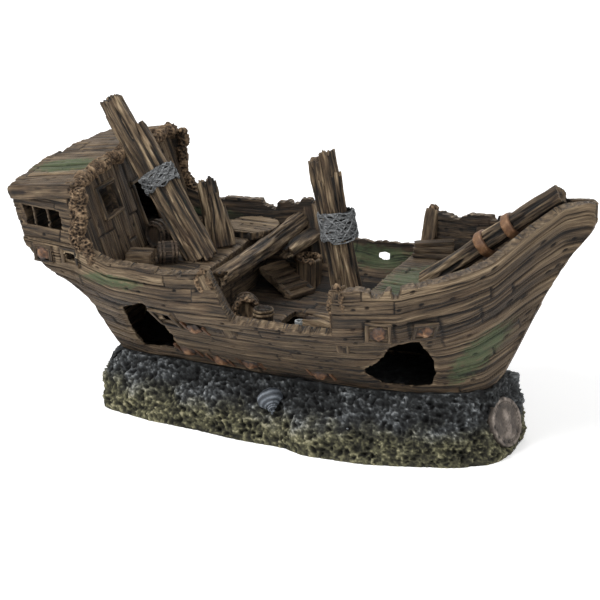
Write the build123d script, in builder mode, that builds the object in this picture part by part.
"""Sunken galleon aquarium ornament with an air outlet in the hold.

Millimetres.  +X is the bow, +Y is port, +Z is up.  The origin is on the ground, under the
middle of the overall length and beam.
"""
from build123d import *
from math import cos, radians, sin
import os

# --- hull -----------------------------------------------------------------------------------
LENGTH = 332.0            # stern overhang to stem head
BEAM = 165.0              # over the planking at the rail
HULL_WALL = 6.0           # cast wall of the planking
HULL_FLOOR = 6.0          # cast floor over the keel
KEEL_AFT_Z = 28.0
KEEL_FORE_Z = 36.0
WAIST_RAIL_Z = 83.0       # starboard rail beside the open hold
PORT_RAIL_Z = 88.0        # port rail there
QUARTER_DECK_Z = 95.0
WAIST_DECK_Z = 62.0
FORE_DECK_Z = 90.0
DECK_THICK = 4.0
HOLD_X0, HOLD_X1 = -0.057 * LENGTH, 0.030 * LENGTH     # open hatch that the air tube stands in
HOLD_Y0, HOLD_Y1 = -34.0, 12.0
POST_WIDTH = 6.0          # timbers at the broken ends of the bulwarks

QUARTER_FRONT_X = -0.172 * LENGTH
FORE_FRONT_X = 0.115 * LENGTH
WAIST_AFT_TOP_X = -0.105 * LENGTH
WAIST_AFT_LOW_X = -0.063 * LENGTH
WAIST_FORE_X = 0.121 * LENGTH

# One line a station: place along LENGTH, then height and share of the half beam at the keel
# edge, at the knuckle where the flare turns upright, and at the rail.  Between the two keel
# ends the keel edge is straight, so its height there is None.
HULL_LINES = (
    (-0.4745, 112.0, 0.778, 113.0, 0.780, 114.0, 0.782),
    (-0.4650, 104.5, 0.755, 106.0, 0.776, 114.0, 0.790),
    (-0.4370, 95.0, 0.740, 99.0, 0.788, 114.0, 0.812),
    (-0.4010, 84.0, 0.642, 94.0, 0.788, 114.0, 0.836),
    (-0.3765, 64.0, 0.412, 92.0, 0.800, 114.0, 0.855),
    (-0.3690, None, 0.085, 91.0, 0.812, 114.0, 0.862),
    (-0.3000, None, 0.145, 88.0, 0.860, 107.5, 0.890),
    (-0.1900, None, 0.218, 84.0, 0.921, 108.0, 0.940),
    (-0.1020, None, 0.279, 82.0, 0.964, 111.0, 0.982),
    (0.0150, None, 0.340, 82.0, 0.982, 110.0, 1.000),
    (0.1420, None, 0.376, 83.0, 0.976, 112.0, 1.000),
    (0.2320, None, 0.352, 87.0, 0.903, 114.0, 0.927),
    (0.2950, None, 0.267, 92.0, 0.764, 119.0, 0.800),
    (0.3315, None, 0.145, 97.0, 0.655, 122.0, 0.691),
    (0.3645, 57.0, 0.042, 103.0, 0.521, 126.0, 0.558),
    (0.4157, 95.0, 0.036, 123.0, 0.242, 141.0, 0.291),
    (0.4520, 117.0, 0.036, 136.0, 0.109, 150.5, 0.133),
    (0.4910, 134.0, 0.030, 143.0, 0.036, 153.5, 0.042),
    (0.5000, 141.0, 0.030, 146.0, 0.031, 152.0, 0.033),
)
KEEL_AFT_X = -0.3690 * LENGTH
KEEL_FORE_X = 0.3315 * LENGTH
LAST_HOLLOW_SHARE = 0.43  # forward of this the stem is cast solid
THIN_EDGE = 0.6           # least half-breadth of a hollow section

# --- damage and ports, as x and z on the hull side --------------------------------------------
BOW_HOLE_X = 0.211 * LENGTH
BOW_HOLE_Z = 62.0
BOW_HOLE = ((-22, -8), (-16, -3), (-9, 3), (0, 14), (9.5, 18), (15, 17.5), (17, 10), (19, 3), (17.5, -9),
            (13.5, -17.5), (0, -20.5), (-15.5, -20), (-22.5, -12))
STERN_HOLE_X = -0.265 * LENGTH
STERN_HOLE_Z = 60.0
STERN_HOLE = ((-11, 14), (7.5, 24), (12, 15.5), (13.5, 2), (13, -16.5), (-14.5, -21.5), (-15.5, -6.5))
FAR_PORT_X = 0.042 * LENGTH
FAR_PORT_Z = 79.5
FAR_PORT_W, FAR_PORT_H = 8.0, 5.0

PORT_FRAME_T = 1.6
KNOB_R, KNOB_H = 3.0, 2.8
# place along LENGTH, height, and the frame's width and height on the planking
FRAMED_PORTS = ((0.200, 87.5, 15.0, 13.5), (0.2705, 88.5, 14.0, 13.5), (-0.4352, 105.5, 13.0, 12.0))
# the same, then the clear hole's width and height
OPEN_PORTS = ((-0.203, 75.0, 16.0, 19.0, 6.0, 9.0), (-0.379, 106.0, 12.5, 12.5, 6.5, 7.0))
BARE_KNOBS = ((-0.148, 71.5), (-0.206, 44.5), (-0.1455, 41.0), (-0.081, 43.5), (0.0555, 44.5))

# --- stern cabin ------------------------------------------------------------------------------
CABIN_WALL = 4.0
CABIN_FOOT_Z = 114.0
CABIN_AFT_X = -0.4745 * LENGTH
CABIN_TURN = 10.5         # degrees each side opens toward the bow
CABIN_SIDE = ((0, 0), (-4.5, 9), (-8.4, 21), (-8.4, 30), (35, 38), (41, 30), (42, 13), (38, 6), (43, 0))
SIDE_WINDOW_W, SIDE_WINDOW_H, WINDOW_LEAN = 8.8, 11.0, 2.6
SIDE_WINDOWS = (2.3, 12.2, 22.2)
SIDE_WINDOW_V = 12.8
STERN_RAKE = 16.0         # degrees the stern wall leans aft
ROOF_THICK = 5.0
ROOF_CAMBER = 4.0
ROOF_SLOPE = 8.6          # degrees, rising toward the bow
ROOF_AFT_Z = 138.6        # underside at the sides, at the aft edge
ROOF_LENGTH = 45.0
ROOF_AFT_HALF, ROOF_FORE_HALF = 66.0, 72.5
BULKHEAD_THICK = 4.5
BULKHEAD_FOOT_X = -0.325 * LENGTH
BULKHEAD_RAKE = 19.7
BULKHEAD_WINDOW_Y, BULKHEAD_WINDOW_V = -28.0, 37.0
BULKHEAD_WINDOW, BULKHEAD_WINDOW_H = 19.0, 15.0
DOOR_Y, DOOR_W, DOOR_H, DOOR_SILL = 18.0, 25.0, 33.0, 4.0

# --- spars --------------------------------------------------------------------------------------
AFT_MAST_FOOT = (-0.2096 * LENGTH, -12.0, QUARTER_DECK_Z)
AFT_MAST_HEAD = (-0.4060 * LENGTH, 4.0, 183.5)
AFT_MAST_R, AFT_FISH_R = 7.2, 6.5
FORE_MAST_FOOT = (0.0648 * LENGTH, 0.0, WAIST_DECK_Z)
FORE_MAST_HEAD = (0.0065 * LENGTH, 0.0, 165.0)
FORE_MAST_R, FORE_FISH_R = 6.5, 6.0
FISH_OFFSET = 5.5         # second timber of each built mast, beside the first
AFT_FISH_SHARE, FORE_FISH_SHARE = 0.78, 0.93
HEAD_TAPER = 0.95         # head radius to foot radius
HEAD_BREAK = 35.0         # degrees of slant on a broken head
LASHING_T = 2.0
AFT_LASHING_AT, AFT_LASHING_W = 0.47, 12.0
FORE_LASHING_AT, FORE_LASHING_W = 0.585, 17.0
STUB_FOOT = (-0.2078 * LENGTH, 15.0, QUARTER_DECK_Z)
STUB_HEAD = (-0.2410 * LENGTH, 21.0, 134.0)
STUB_R = 7.0
BOWSPRIT_HEEL = (0.199 * LENGTH, 0.0, 93.0)
BOWSPRIT_HEAD = (0.4385 * LENGTH, 0.0, 155.0)
BOWSPRIT_R = 6.3
BAND_T, BAND_W = 1.6, 6.0
BAND_PLACES = (0.45, 0.645)
SPAR_LOW = (-0.1611 * LENGTH, -22.0, 86.0)
SPAR_HIGH = (-0.1145 * LENGTH, 79.0, 98.5)
SPAR_R = 6.3
SECOND_FROM = 0.58        # share of the spar at which the log beside it starts
SECOND_OFFSET = (9.2, 0.0, -6.2)
SECOND_R = 4.8

# --- wreckage on the decks ------------------------------------------------------------------------
STAIR_AT = (-0.146 * LENGTH, 46.0)       # middle of the top step's edge
STAIR_TURN = -24.0
STAIR_STEPS, STAIR_RUN, STAIR_RISE, STAIR_W = 5, 5.6, 2.8, 20.0
STAIR_FOOT_H = 3.5
STAIR_THICK = 6.5         # of the flight under its top step; below it the flight is open
HATCH_AT = (-0.187 * LENGTH, 50.0)
HATCH_RX, HATCH_RY, HATCH_T = 15.5, 17.0, 4.5
CRATE_AT = (-0.287 * LENGTH, -39.0)
CRATE_SIZE = (15.0, 14.0, 9.5)
CRATE_TURN = 12.0
DECK_CASKS = ((-0.300, 2.0, 8.5, 17.0, 70.0), (-0.252, -26.0, 6.5, 12.0, 30.0))
BARREL_AT = (-0.119 * LENGTH, -14.0)
BARREL_R, BARREL_L, BARREL_TURN = 7.5, 15.0, -65.0
BARREL_RING = 1.6
KEG_AT = (-0.073 * LENGTH, -24.0)
KEG_R, KEG_H = 6.0, 12.0
TUB_AT = (-0.0815 * LENGTH, 54.0)
TUB_R, TUB_WALL, TUB_H = 8.0, 2.4, 19.0
LOG_PAIR_AT = (0.0425 * LENGTH, -19.0)
LOG_R, LOG_L, LOG_TURN = 5.0, 24.0, -14.0
LOOSE_AT = (0.158 * LENGTH, 54.0)
LOOSE_L, LOOSE_W, LOOSE_T, LOOSE_TURN = 24.0, 6.0, 3.0, 12.0

CASK_HEAD, CASK_BELLY = 0.86, 0.55          # head radius and belly length of a cask
LOOSE_TIERS, LOOSE_FAN = 3, 9.0
SEAT_DEPTH = 3.0          # how far frames and knobs are carried in before the hull is cut out of them
FRAME_TIMBER = 2.4

# --- rock base ------------------------------------------------------------------------------------
BASE_LIP = 2.0            # rock that cradles the keel edge
BASE_MARGIN = 4.5         # rock ledge beside the keel
# place along LENGTH at the ground, starboard and port half widths at the ground
BASE_EDGE = (
    (-0.410, 9.0, 12.0), (-0.378, 31.0, 26.0), (-0.330, 37.0, 36.0), (-0.270, 41.0, 41.0),
    (-0.190, 45.0, 44.0), (-0.100, 50.0, 49.0), (-0.005, 50.5, 52.0), (0.045, 57.5, 53.0),
    (0.150, 57.0, 51.0), (0.225, 51.0, 47.0), (0.310, 42.0, 40.0), (0.355, 31.0, 30.0),
    (0.372, 14.0, 15.0),
)
BASE_TOP_SHRINK = 0.93
SHELL_AT = (-0.038 * LENGTH, -41.5, 22.0)
SHELL_R, SHELL_L = 7.0, 13.0
BARNACLE_AT = (0.105 * LENGTH, -44.0, 17.5)
BARNACLE_R, BARNACLE_H = 3.6, 4.0
COIN_AT = (0.360 * LENGTH, -9.0, 18.5)
COIN_R, COIN_T = 14.5, 3.4
COIN_TURN, COIN_LEAN = -15.0, 18.0
COIN_RIM, COIN_RELIEF = 1.8, 0.7
COIN_BEADS, BEAD_R = 36, 0.55

# --- air line -------------------------------------------------------------------------------------
TUBE_OD, TUBE_BORE = 6.0, 4.0
TUBE_FIT = 0.1            # clearance of the moulded channel
TUBE_X, TUBE_Y = -0.004 * LENGTH, -24.0
TUBE_TOP_Z = 69.0
TUBE_BEND_Z, TUBE_BEND_R = 56.0, 36.0
FITTING_COLLAR_R, FITTING_COLLAR_T = 5.0, 3.0
SPIGOT_R, SPIGOT_L = 2.2, 11.0
INNER_SPIGOT_L = 8.0
FITTING_BORE_R = 1.2
TUBE_END_Y = 40.0

FAR = 400.0               # larger than the whole object


# --- hull form ------------------------------------------------------------------------------------
def keel_z(x):
    """Height of the straight keel edge."""
    share = (x - KEEL_AFT_X) / (KEEL_FORE_X - KEEL_AFT_X)
    return KEEL_AFT_Z + share * (KEEL_FORE_Z - KEEL_AFT_Z)


def station(line):
    """Station x, then (half-breadth, height) at keel edge, knuckle and rail."""
    x, half = line[0] * LENGTH, BEAM / 2
    low_z = keel_z(x) if line[1] is None else line[1]
    return x, ((line[2] * half, low_z), (line[4] * half, line[3]), (line[6] * half, line[5]))


def half_breadth(x, z):
    """Half-breadth of the planking at a place on the hull side."""
    rows = [station(line) for line in HULL_LINES]
    for (xa, a), (xb, b) in zip(rows, rows[1:]):
        if xa <= x <= xb:
            t = (x - xa) / (xb - xa)
            pts = [(p[0] + t * (q[0] - p[0]), p[1] + t * (q[1] - p[1])) for p, q in zip(a, b)]
            low, high = (pts[0], pts[1]) if z < pts[1][1] else (pts[1], pts[2])
            return low[0] + (z - low[1]) / (high[1] - low[1]) * (high[0] - low[0])
    raise ValueError("x is outside the hull")


def side_plane(x, z):
    """Plane on the starboard side, its normal outward and its local Y up the planking."""
    step = 1.0
    b = half_breadth(x, z)
    along = (half_breadth(x + step, z) - half_breadth(x - step, z)) / (2 * step)
    up = (half_breadth(x, z + step) - half_breadth(x, z - step)) / (2 * step)
    normal = Vector(-along, -1, -up).normalized()
    return Plane(origin=(x, -b, z), x_dir=(1, -along, 0), z_dir=normal)


def outline_of(points):
    low, knuckle, rail = points
    return [(-low[0], low[1]), low, knuckle, rail, (-rail[0], rail[1]), (-knuckle[0], knuckle[1])]


def loft_through(rows):
    with BuildPart() as body:
        for x, points in rows:
            with BuildSketch(Plane(origin=(x, 0, 0), x_dir=(0, 1, 0), z_dir=(1, 0, 0))):
                Polygon(*outline_of(points), align=None)
        loft(ruled=True)
    return body.part


def inner_station(line):
    """The hollow's station: a wall in from the sides, a floor up from the keel."""
    x, points = station(line)
    inner = [(max(b - HULL_WALL, THIN_EDGE), z) for b, z in points]
    inner[0] = (inner[0][0], inner[0][1] + HULL_FLOOR)
    inner[2] = (inner[2][0], inner[2][1] + 1)
    if inner[1][1] <= inner[0][1]:
        inner[1] = (inner[1][0], inner[0][1] + 1)
    if line[0] <= HULL_LINES[5][0]:
        x += HULL_WALL
    return x, inner


hull_form = loft_through([station(line) for line in HULL_LINES])
hollow_form = loft_through([inner_station(line) for line in HULL_LINES[2:]
                            if line[0] < LAST_HOLLOW_SHARE])


def side_prism(points, y0, y1):
    """A prism along Y from an outline in x and z."""
    with BuildPart() as prism:
        with BuildSketch(Plane(origin=(0, y1, 0), x_dir=(1, 0, 0), z_dir=(0, -1, 0))):
            Polygon(*points, align=None)
        extrude(amount=y1 - y0)
    return prism.part


def block(x0, x1, y0, y1, z0, z1):
    with BuildPart(Plane(((x0 + x1) / 2, (y0 + y1) / 2, (z0 + z1) / 2))) as solid:
        Box(x1 - x0, y1 - y0, z1 - z0)
    return solid.part


def inside_hull(tool):
    with BuildPart() as piece:
        add(hollow_form)
        add(tool, mode=Mode.INTERSECT)
    return piece.part


def cut_clear(piece, *neighbours):
    """The piece with its neighbours taken out of it, so that they meet face to face."""
    with BuildPart() as clear:
        add(piece)
        for neighbour in neighbours:
            add(neighbour, mode=Mode.SUBTRACT)
    return clear.part


def shifted(points, x, z):
    return [(x + dx, z + dz) for dx, dz in points]


def waist_gap(inset):
    """The gap between the broken bulwark ends, inset by a post at each end, on both sides."""
    lean = (WAIST_AFT_LOW_X - WAIST_AFT_TOP_X) / 28.0
    with BuildPart() as gap:
        for rail, y0, y1 in ((WAIST_RAIL_Z, -FAR / 2, 0), (PORT_RAIL_Z, 0, FAR / 2)):
            foot = WAIST_AFT_LOW_X - inset - (rail - WAIST_RAIL_Z) * lean
            top = WAIST_RAIL_Z + 30.0
            add(side_prism([(WAIST_AFT_TOP_X - inset - 2 * lean, top), (foot, rail),
                            (WAIST_FORE_X + inset, rail), (WAIST_FORE_X + inset, top + 10)], y0, y1))
    return gap.part


# --- air line solids (made first, so that the castings can be channelled for them) ----------------
def tube_path():
    with BuildLine(Plane(origin=(TUBE_X, 0, 0), x_dir=(0, 1, 0), z_dir=(1, 0, 0))) as path:
        l1 = Line((TUBE_Y, TUBE_TOP_Z), (TUBE_Y, TUBE_BEND_Z))
        l2 = CenterArc((TUBE_Y + TUBE_BEND_R, TUBE_BEND_Z), TUBE_BEND_R, 180, 90)
        Line((TUBE_Y + TUBE_BEND_R, TUBE_BEND_Z - TUBE_BEND_R), (TUBE_END_Y, TUBE_BEND_Z - TUBE_BEND_R))
    return path.line


def swept(radius, bore=0.0):
    with BuildPart() as body:
        with BuildSketch(Plane(origin=(TUBE_X, TUBE_Y, TUBE_TOP_Z), z_dir=(0, 0, -1))):
            Circle(radius)
            if bore:
                Circle(bore, mode=Mode.SUBTRACT)
        sweep(path=tube_path())
    return body.part


air_tube = swept(TUBE_OD / 2, TUBE_BORE / 2)
tube_channel = swept(TUBE_OD / 2 + TUBE_FIT)

INLET_AT = (TUBE_X, TUBE_END_Y, TUBE_BEND_Z - TUBE_BEND_R)
with BuildPart(Plane(origin=INLET_AT, z_dir=(0, 1, 0))) as air_inlet:
    Cylinder(FITTING_COLLAR_R, FITTING_COLLAR_T, align=(Align.CENTER, Align.CENTER, Align.MIN))
    with Locations((0, 0, FITTING_COLLAR_T)):
        Cylinder(SPIGOT_R, SPIGOT_L, align=(Align.CENTER, Align.CENTER, Align.MIN))
    Cylinder(TUBE_BORE / 2, INNER_SPIGOT_L, align=(Align.CENTER, Align.CENTER, Align.MAX))
    Hole(FITTING_BORE_R)

# --- hull castings --------------------------------------------------------------------------------
port_light = []
for share, z, _, _, light_w, light_h in OPEN_PORTS:
    with BuildPart() as light:
        with BuildSketch(side_plane(share * LENGTH, z)):
            Rectangle(light_w, light_h)
        extrude(amount=HULL_WALL * 2, both=True)
    port_light.append(light.part)

with BuildPart() as hull:
    add(hull_form)
    add(hollow_form, mode=Mode.SUBTRACT)
    add(waist_gap(POST_WIDTH), mode=Mode.SUBTRACT)
    add(tube_channel, mode=Mode.SUBTRACT)
    for light in port_light:
        add(light, mode=Mode.SUBTRACT)
        add(mirror(light, about=Plane.XZ, mode=Mode.PRIVATE), mode=Mode.SUBTRACT)

with BuildPart() as hull_starboard:
    add(hull.part)
    split(bisect_by=Plane.XZ, keep=Keep.TOP)
    add(side_prism(shifted(BOW_HOLE, BOW_HOLE_X, BOW_HOLE_Z), -BEAM, -8), mode=Mode.SUBTRACT)
    add(side_prism(shifted(STERN_HOLE, STERN_HOLE_X, STERN_HOLE_Z), -BEAM, -8), mode=Mode.SUBTRACT)

with BuildPart() as hull_port:
    add(hull.part)
    split(bisect_by=Plane.XZ, keep=Keep.BOTTOM)
    add(block(FAR_PORT_X - FAR_PORT_W / 2, FAR_PORT_X + FAR_PORT_W / 2, 40, BEAM,
              FAR_PORT_Z - FAR_PORT_H / 2, FAR_PORT_Z + FAR_PORT_H / 2), mode=Mode.SUBTRACT)


def bulwark_posts(aft):
    """The two timbers, starboard and port, that close a broken bulwark end."""
    x_split = (WAIST_AFT_LOW_X + WAIST_FORE_X) / 2
    x0, x1 = (-FAR, x_split) if aft else (x_split, FAR)
    with BuildPart() as posts:
        add(hull_form)
        add(hollow_form, mode=Mode.SUBTRACT)
        add(waist_gap(POST_WIDTH), mode=Mode.INTERSECT)
        add(waist_gap(0), mode=Mode.SUBTRACT)
        add(block(x0, x1, -FAR, FAR, 0, FAR), mode=Mode.INTERSECT)
    return posts.part


# --- decks and the walls between them -------------------------------------------------------------
quarter_deck = inside_hull(block(-FAR, QUARTER_FRONT_X, -FAR, FAR,
                                 QUARTER_DECK_Z - DECK_THICK, QUARTER_DECK_Z))
fore_deck = inside_hull(block(FORE_FRONT_X, FAR, -FAR, FAR, FORE_DECK_Z - DECK_THICK, FORE_DECK_Z))
quarter_deck_front = inside_hull(block(QUARTER_FRONT_X - DECK_THICK, QUARTER_FRONT_X, -FAR, FAR,
                                       WAIST_DECK_Z, QUARTER_DECK_Z - DECK_THICK))
fore_deck_front = inside_hull(block(FORE_FRONT_X, FORE_FRONT_X + DECK_THICK, -FAR, FAR,
                                    WAIST_DECK_Z, FORE_DECK_Z - DECK_THICK))
with BuildPart() as waist_deck:
    add(inside_hull(block(QUARTER_FRONT_X - DECK_THICK, FORE_FRONT_X + DECK_THICK, -FAR, FAR,
                          WAIST_DECK_Z - DECK_THICK, WAIST_DECK_Z)))
    add(block(HOLD_X0, HOLD_X1, HOLD_Y0, HOLD_Y1, 0, FAR), mode=Mode.SUBTRACT)


# --- stern cabin ----------------------------------------------------------------------------------
def roof_prism(thickness, overrun=0.0):
    """Cambered slab from the roof's underside up; overrun carries it past both ends."""
    half, rise = ROOF_FORE_HALF + 2, ROOF_CAMBER
    tilt = radians(ROOF_SLOPE)
    start = (-LENGTH / 2 - overrun * cos(tilt), 0, ROOF_AFT_Z - overrun * sin(tilt))
    plane = Plane(origin=start, x_dir=(0, 1, 0), z_dir=(cos(tilt), 0, sin(tilt)))
    with BuildPart() as slab:
        with BuildSketch(plane):
            with BuildLine():
                ThreePointArc((-half, 0), (0, rise), (half, 0))
                Line((half, 0), (half, thickness))
                ThreePointArc((half, thickness), (0, rise + thickness), (-half, thickness))
                Line((-half, thickness), (-half, 0))
            make_face()
        extrude(amount=ROOF_LENGTH + 2 * overrun)
    return slab.part


with BuildPart() as cabin_roof:
    add(roof_prism(ROOF_THICK))
    with BuildSketch():
        Polygon((-LENGTH / 2, -ROOF_AFT_HALF), (-LENGTH / 2 + ROOF_LENGTH, -ROOF_FORE_HALF),
                (-LENGTH / 2 + ROOF_LENGTH, ROOF_FORE_HALF), (-LENGTH / 2, ROOF_AFT_HALF), align=None)
    extrude(amount=FAR, mode=Mode.INTERSECT)

above_roof = roof_prism(60.0, 6.0)


def leaning_light(u, v, width, height):
    lean = WINDOW_LEAN / 2
    return [(u - width / 2 + lean, v - height / 2), (u + width / 2 + lean, v - height / 2),
            (u + width / 2 - lean, v + height / 2), (u - width / 2 - lean, v + height / 2)]


turn = radians(CABIN_TURN)
CABIN_SIDE_PLANE = Plane(origin=(CABIN_AFT_X, -half_breadth(CABIN_AFT_X, CABIN_FOOT_Z), CABIN_FOOT_Z),
                         x_dir=(cos(turn), -sin(turn), 0), z_dir=(-sin(turn), -cos(turn), 0))
with BuildPart() as cabin_side_starboard:
    with BuildSketch(CABIN_SIDE_PLANE):
        Polygon(*CABIN_SIDE, align=None)
        for u in SIDE_WINDOWS:
            Polygon(*leaning_light(u, SIDE_WINDOW_V, SIDE_WINDOW_W, SIDE_WINDOW_H), align=None,
                    mode=Mode.SUBTRACT)
    extrude(amount=-CABIN_WALL)
    add(above_roof, mode=Mode.SUBTRACT)

with BuildPart() as cabin_side_port:
    mirror(cabin_side_starboard.part, about=Plane.XZ)

rake = radians(STERN_RAKE)
with BuildPart() as stern_wall:
    with BuildSketch(Plane(origin=(CABIN_AFT_X, 0, CABIN_FOOT_Z), x_dir=(0, -1, 0),
                           z_dir=(-cos(rake), 0, -sin(rake)))):
        with Locations((0, 20)):
            Rectangle(2 * half_breadth(CABIN_AFT_X, CABIN_FOOT_Z) - CABIN_WALL, 40)
    extrude(amount=-CABIN_WALL)
    add(above_roof, mode=Mode.SUBTRACT)
    add(cabin_side_starboard.part, mode=Mode.SUBTRACT)
    add(cabin_side_port.part, mode=Mode.SUBTRACT)
    add(block(-FAR, FAR, -FAR, FAR, 0, CABIN_FOOT_Z), mode=Mode.SUBTRACT)

rake = radians(BULKHEAD_RAKE)
BULKHEAD_PLANE = Plane(origin=(BULKHEAD_FOOT_X, 0, QUARTER_DECK_Z), x_dir=(0, 1, 0),
                       z_dir=(cos(rake), 0, sin(rake)))
with BuildPart() as cabin_bulkhead:
    with BuildSketch(BULKHEAD_PLANE):
        with Locations((0, 30)):
            Rectangle(2 * half_breadth(BULKHEAD_FOOT_X, QUARTER_DECK_Z) - HULL_WALL, 70)
        with Locations((BULKHEAD_WINDOW_Y, BULKHEAD_WINDOW_V)):
            Rectangle(BULKHEAD_WINDOW, BULKHEAD_WINDOW_H, mode=Mode.SUBTRACT)
        with Locations((DOOR_Y, DOOR_SILL + DOOR_H / 2)):
            Rectangle(DOOR_W, DOOR_H, mode=Mode.SUBTRACT)
    extrude(amount=-BULKHEAD_THICK)
    add(block(-FAR, FAR, -FAR, FAR, 0, QUARTER_DECK_Z), mode=Mode.SUBTRACT)
    for neighbour in (above_roof, hull_starboard.part, hull_port.part, cabin_side_starboard.part,
                      cabin_side_port.part):
        add(neighbour, mode=Mode.SUBTRACT)

HULL_SIDES = (hull_starboard.part, hull_port.part)


# --- spars ----------------------------------------------------------------------------------------
def spar_plane(low, high, side=(1, 0, 0)):
    """Plane at the foot of a spar, its normal along the spar."""
    return Plane(origin=low, x_dir=side, z_dir=Vector(*high) - Vector(*low))


def run_length(low, high):
    return (Vector(*high) - Vector(*low)).length


def built_mast(foot, head, radius, fish_radius, fish_share, deck_z):
    """A mast of two timbers, its head broken to a slant and its foot cut flat on the deck."""
    length = run_length(foot, head)
    plane = spar_plane(foot, head)
    with BuildPart() as mast:
        with BuildSketch(plane.offset(-radius * 2)):
            Circle(radius)
        with BuildSketch(plane.offset(length)):
            Circle(radius * HEAD_TAPER)
        loft()
        with BuildSketch(plane.offset(-radius * 2)):
            with Locations((FISH_OFFSET, 0)):
                Circle(fish_radius)
        extrude(amount=length * fish_share + radius * 2)
        split(bisect_by=Plane.XY.offset(deck_z), keep=Keep.TOP)
        split(bisect_by=plane.offset(length - radius).rotated((0, HEAD_BREAK, 0)), keep=Keep.BOTTOM)
    return mast.part


def lashing(foot, head, radius, fish_radius, share, width, mast):
    """A rope wrapping round both timbers, with the mast taken out of it."""
    with BuildPart() as wrap:
        with BuildSketch(spar_plane(foot, head).offset(run_length(foot, head) * share - width / 2)):
            Circle(radius + LASHING_T)
            with Locations((FISH_OFFSET, 0)):
                Circle(fish_radius + LASHING_T)
            make_hull()
        extrude(amount=width)
        add(mast, mode=Mode.SUBTRACT)
    return wrap.part


def deck_plane(at, z, turn_degrees=0.0):
    a = radians(turn_degrees)
    return Plane(origin=(at[0], at[1], z), x_dir=(cos(a), sin(a), 0), z_dir=(0, 0, 1))


aft_mast = built_mast(AFT_MAST_FOOT, AFT_MAST_HEAD, AFT_MAST_R, AFT_FISH_R, AFT_FISH_SHARE, QUARTER_DECK_Z)
fore_mast = built_mast(FORE_MAST_FOOT, FORE_MAST_HEAD, FORE_MAST_R, FORE_FISH_R, FORE_FISH_SHARE,
                       WAIST_DECK_Z)
aft_mast_lashing = lashing(AFT_MAST_FOOT, AFT_MAST_HEAD, AFT_MAST_R, AFT_FISH_R, AFT_LASHING_AT,
                           AFT_LASHING_W, aft_mast)
fore_mast_lashing = lashing(FORE_MAST_FOOT, FORE_MAST_HEAD, FORE_MAST_R, FORE_FISH_R, FORE_LASHING_AT,
                            FORE_LASHING_W, fore_mast)

with BuildPart() as mast_stub:
    stub_plane = spar_plane(STUB_FOOT, STUB_HEAD)
    with BuildSketch(stub_plane.offset(-STUB_R)):
        Circle(STUB_R)
    extrude(amount=run_length(STUB_FOOT, STUB_HEAD) + STUB_R)
    split(bisect_by=Plane.XY.offset(QUARTER_DECK_Z), keep=Keep.TOP)
    split(bisect_by=stub_plane.offset(run_length(STUB_FOOT, STUB_HEAD) - STUB_R).rotated((0, -HEAD_BREAK, 0)),
          keep=Keep.BOTTOM)
    add(aft_mast, mode=Mode.SUBTRACT)

with BuildPart() as bowsprit:
    with BuildSketch(spar_plane(BOWSPRIT_HEEL, BOWSPRIT_HEAD)):
        Circle(BOWSPRIT_R)
    extrude(amount=run_length(BOWSPRIT_HEEL, BOWSPRIT_HEAD))
    split(bisect_by=Plane.XY.offset(FORE_DECK_Z), keep=Keep.TOP)
    for side in HULL_SIDES:
        add(side, mode=Mode.SUBTRACT)

with BuildPart() as bowsprit_bands:
    for share in BAND_PLACES:
        with BuildSketch(spar_plane(BOWSPRIT_HEEL, BOWSPRIT_HEAD).offset(
                run_length(BOWSPRIT_HEEL, BOWSPRIT_HEAD) * share - BAND_W / 2)):
            Circle(BOWSPRIT_R + BAND_T)
            Circle(BOWSPRIT_R, mode=Mode.SUBTRACT)
        extrude(amount=BAND_W)

with BuildPart() as hatch_cover:
    with BuildSketch(deck_plane(HATCH_AT, QUARTER_DECK_Z)):
        Ellipse(HATCH_RX, HATCH_RY)
    extrude(amount=HATCH_T)

with BuildPart() as fallen_spar:
    with BuildSketch(spar_plane(SPAR_LOW, SPAR_HIGH)):
        Circle(SPAR_R)
    extrude(amount=run_length(SPAR_LOW, SPAR_HIGH) + SPAR_R)
    add(hollow_form, mode=Mode.INTERSECT)
    for neighbour in (quarter_deck, quarter_deck_front, hatch_cover.part, aft_mast, mast_stub.part):
        add(neighbour, mode=Mode.SUBTRACT)

spar_run = Vector(*SPAR_HIGH) - Vector(*SPAR_LOW)
second_low = Vector(*SPAR_LOW) + spar_run * SECOND_FROM + Vector(*SECOND_OFFSET)
with BuildPart() as second_spar:
    with BuildSketch(spar_plane(second_low, second_low + spar_run)):
        Circle(SECOND_R)
    extrude(amount=spar_run.length)
    add(hollow_form, mode=Mode.INTERSECT)
    add(fallen_spar.part, mode=Mode.SUBTRACT)


# --- wreckage -------------------------------------------------------------------------------------
def lying_cask(at, z, radius, length, turn_degrees, ring=0.0):
    """A cask on its side with a bellied profile, and a raised ring round each head."""
    a = radians(turn_degrees)
    plane = Plane(origin=(at[0], at[1], z + radius), x_dir=(0, 0, 1), z_dir=(cos(a), sin(a), 0))
    with BuildPart(plane) as cask:
        Cylinder(radius * CASK_HEAD, length)
        Cylinder(radius, length * CASK_BELLY)
        if ring:
            for end in (1, -1):
                with Locations((0, 0, end * (length / 2 - ring / 2))):
                    Cylinder(radius * CASK_HEAD - ring, ring, mode=Mode.SUBTRACT)
    return cask.part


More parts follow.
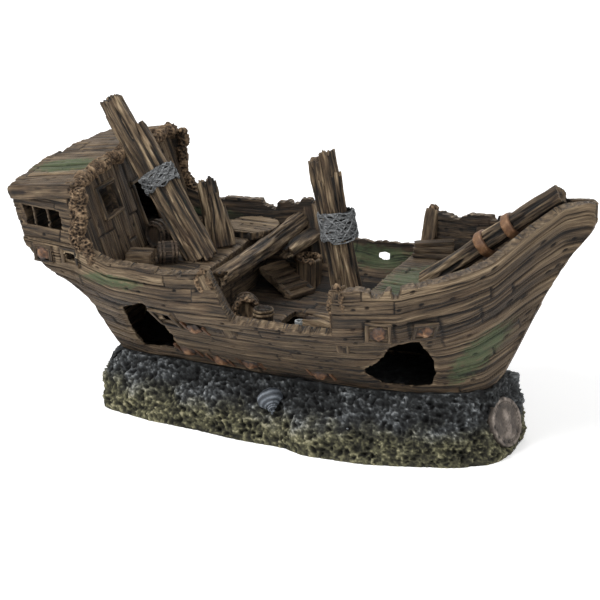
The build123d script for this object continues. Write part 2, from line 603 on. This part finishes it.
stair_top = STAIR_FOOT_H + (STAIR_STEPS - 1) * STAIR_RISE
stair_outline = [(0, 0), (0, stair_top)]
for step in range(STAIR_STEPS):
    height = stair_top - step * STAIR_RISE
    stair_outline += [(step * STAIR_RUN, height), ((step + 1) * STAIR_RUN, height)]
stair_outline[0] = (0, stair_top - STAIR_THICK)
del stair_outline[1]
stair_outline += [(STAIR_STEPS * STAIR_RUN, 0), (STAIR_STEPS * STAIR_RUN - STAIR_THICK, 0)]
stair_turn = radians(STAIR_TURN)
with BuildPart() as stair_flight:
    with BuildSketch(Plane(origin=(STAIR_AT[0], STAIR_AT[1], WAIST_DECK_Z),
                           x_dir=(cos(stair_turn), sin(stair_turn), 0),
                           z_dir=(sin(stair_turn), -cos(stair_turn), 0))):
        Polygon(*stair_outline, align=None)
    extrude(amount=STAIR_W / 2, both=True)

with BuildPart(deck_plane(CRATE_AT, QUARTER_DECK_Z, CRATE_TURN)) as crate:
    Box(*CRATE_SIZE, align=(Align.CENTER, Align.CENTER, Align.MIN))

with BuildPart() as deck_casks:
    for share, y, radius, length, cask_turn in DECK_CASKS:
        add(lying_cask((share * LENGTH, y), QUARTER_DECK_Z, radius, length, cask_turn))
    add(cabin_bulkhead.part, mode=Mode.SUBTRACT)

hold_barrel = lying_cask(BARREL_AT, WAIST_DECK_Z, BARREL_R, BARREL_L, BARREL_TURN, BARREL_RING)

with BuildPart(deck_plane(KEG_AT, WAIST_DECK_Z)) as hold_keg:
    Cylinder(KEG_R * CASK_HEAD, KEG_H, align=(Align.CENTER, Align.CENTER, Align.MIN))
    with Locations((0, 0, KEG_H * (1 - CASK_BELLY) / 2)):
        Cylinder(KEG_R, KEG_H * CASK_BELLY, align=(Align.CENTER, Align.CENTER, Align.MIN))

with BuildPart(deck_plane(TUB_AT, WAIST_DECK_Z)) as tub:
    Cylinder(TUB_R, TUB_H, align=(Align.CENTER, Align.CENTER, Align.MIN))
    with Locations((0, 0, TUB_WALL)):
        Cylinder(TUB_R - TUB_WALL, TUB_H, align=(Align.CENTER, Align.CENTER, Align.MIN), mode=Mode.SUBTRACT)
broken_tub = cut_clear(inside_hull(tub.part), stair_flight.part, second_spar.part)

with BuildPart(deck_plane(LOG_PAIR_AT, WAIST_DECK_Z, LOG_TURN)) as split_logs:
    for side in (1, -1):
        with Locations((0, side * LOG_R, LOG_R)):
            Cylinder(LOG_R, LOG_L, rotation=(0, 90, 0))

with BuildPart(deck_plane(LOOSE_AT, FORE_DECK_Z, LOOSE_TURN)) as loose_planks:
    for tier in range(LOOSE_TIERS):
        with Locations(Location((0, tier * LOOSE_T, (tier + 0.5) * LOOSE_T), (0, 0, tier * LOOSE_FAN))):
            Box(LOOSE_L, LOOSE_W, LOOSE_T)

# --- port frames and iron knobs -------------------------------------------------------------------
with BuildPart() as port_frames:
    for share, z, frame_w, frame_h, *light_size in FRAMED_PORTS + OPEN_PORTS:
        with BuildSketch(side_plane(share * LENGTH, z).offset(-SEAT_DEPTH)):
            Rectangle(frame_w, frame_h)
            Rectangle(frame_w - 2 * FRAME_TIMBER, frame_h - 2 * FRAME_TIMBER, mode=Mode.SUBTRACT)
        extrude(amount=SEAT_DEPTH + PORT_FRAME_T)
    mirror(about=Plane.XZ)
    add(hull_form, mode=Mode.SUBTRACT)

with BuildPart() as port_knobs:
    for share, z, *frame_size in FRAMED_PORTS + BARE_KNOBS:
        with BuildSketch(side_plane(share * LENGTH, z).offset(-SEAT_DEPTH)):
            Circle(KNOB_R)
        extrude(amount=SEAT_DEPTH + KNOB_H)
    mirror(about=Plane.XZ)
    add(hull_form, mode=Mode.SUBTRACT)


# --- rock base ------------------------------------------------------------------------------------
def keel_half(x):
    """Half width of the keel flat, held at its end value past both ends."""
    x = min(max(x, KEEL_AFT_X), KEEL_FORE_X)
    return half_breadth(x, keel_z(x))


keel_slope = (KEEL_FORE_Z - KEEL_AFT_Z) / (KEEL_FORE_X - KEEL_AFT_X)
ground_edge = [(share * LENGTH, -starboard) for share, starboard, port in BASE_EDGE]
ground_edge += [(share * LENGTH, port) for share, starboard, port in reversed(BASE_EDGE)]
top_edge = []
for x, y in ground_edge:
    top_x = x * BASE_TOP_SHRINK
    ledge = min(keel_half(top_x) + BASE_MARGIN, abs(y))
    top_edge.append((top_x, ledge if y > 0 else -ledge))

coin_turn, coin_lean = radians(COIN_TURN), radians(COIN_LEAN)
coin_normal = (cos(coin_turn) * cos(coin_lean), sin(coin_turn) * cos(coin_lean), sin(coin_lean))
COIN_PLANE = Plane(origin=COIN_AT, x_dir=(-sin(coin_turn), cos(coin_turn), 0), z_dir=coin_normal)
with BuildPart(COIN_PLANE) as coin:
    Cylinder(COIN_R, COIN_T)
    with Locations((0, 0, COIN_T / 2)):
        Cylinder(COIN_R - COIN_RIM, COIN_RELIEF * 2, mode=Mode.SUBTRACT)
    with BuildSketch(COIN_PLANE.offset(COIN_T / 2 - COIN_RELIEF)):
        with Locations((0.5, 2.6)):
            Ellipse(4.3, 5.4)
        with Locations((0.9, -3.4)):
            Rectangle(4.2, 5.0)
        with Locations((0.6, -6.9)):
            Ellipse(6.2, 2.6)
        Polygon((-3.4, 4.2), (-5.0, 1.6), (-3.4, 1.2), align=None)
    extrude(amount=COIN_RELIEF)
    with BuildSketch(COIN_PLANE.offset(COIN_T / 2 - COIN_RELIEF)):
        with PolarLocations(COIN_R - COIN_RIM - 2 * BEAD_R, COIN_BEADS):
            Circle(BEAD_R)
    extrude(amount=BEAD_R)

with BuildPart() as rock_base:
    with BuildSketch():
        Polygon(*ground_edge, align=None)
    with BuildSketch(Plane(origin=(0, 0, keel_z(0) + BASE_LIP), x_dir=(1, 0, keel_slope),
                           z_dir=(-keel_slope, 0, 1))):
        Polygon(*top_edge, align=None)
    loft(ruled=True)
    add(hull_form, mode=Mode.SUBTRACT)
    add(tube_channel, mode=Mode.SUBTRACT)
    add(coin.part, mode=Mode.SUBTRACT)
    with BuildSketch(Plane(origin=INLET_AT, z_dir=(0, 1, 0))):
        Circle(FITTING_COLLAR_R)
    extrude(amount=FAR, mode=Mode.SUBTRACT)

with BuildPart(Plane(origin=SHELL_AT, x_dir=(0.5, 0, 1), z_dir=(-0.85, -0.45, 0.3))) as whorl:
    Cone(SHELL_R, SHELL_R * 0.12, SHELL_L)
    with Locations((0, 0, -SHELL_L / 2)):
        Sphere(SHELL_R)
snail_shell = cut_clear(whorl.part, rock_base.part)

with BuildPart(Plane(origin=BARNACLE_AT, x_dir=(1, 0, 0), z_dir=(0.1, -0.8, 0.6))) as ring:
    Cone(BARNACLE_R, BARNACLE_R * 0.7, BARNACLE_H)
    with Locations((0, 0, BARNACLE_H / 2)):
        Cylinder(BARNACLE_R * 0.4, BARNACLE_H * 0.7, mode=Mode.SUBTRACT)
barnacle = cut_clear(ring.part, rock_base.part)


# --- output ---------------------------------------------------------------------------------------
NODES = {
    "rock_base": rock_base.part, "hull_starboard": hull_starboard.part, "hull_port": hull_port.part,
    "aft_bulwark_posts": bulwark_posts(True), "fore_bulwark_posts": bulwark_posts(False),
    "quarter_deck": quarter_deck, "waist_deck": waist_deck.part, "fore_deck": fore_deck,
    "quarter_deck_front": quarter_deck_front, "fore_deck_front": fore_deck_front,
    "cabin_side_starboard": cabin_side_starboard.part, "cabin_side_port": cabin_side_port.part,
    "stern_wall": stern_wall.part, "cabin_bulkhead": cabin_bulkhead.part, "cabin_roof": cabin_roof.part,
    "aft_mast": aft_mast, "aft_mast_lashing": aft_mast_lashing,
    "fore_mast": fore_mast, "fore_mast_lashing": fore_mast_lashing, "mast_stub": mast_stub.part,
    "bowsprit": bowsprit.part, "bowsprit_bands": bowsprit_bands.part,
    "fallen_spar": fallen_spar.part, "second_spar": second_spar.part,
    "stair_flight": inside_hull(stair_flight.part), "hatch_cover": hatch_cover.part, "crate": crate.part,
    "deck_casks": deck_casks.part, "hold_barrel": hold_barrel, "hold_keg": hold_keg.part,
    "broken_tub": broken_tub, "split_logs": split_logs.part, "loose_planks": loose_planks.part,
    "port_frames": port_frames.part, "port_knobs": port_knobs.part,
    "snail_shell": snail_shell, "barnacle": barnacle, "coin": coin.part,
    "air_tube": air_tube, "air_inlet": air_inlet.part,
}
os.makedirs("parts", exist_ok=True)
for name, solid in NODES.items():
    solid.label = name
    export_step(solid, f"parts/{name}.step")
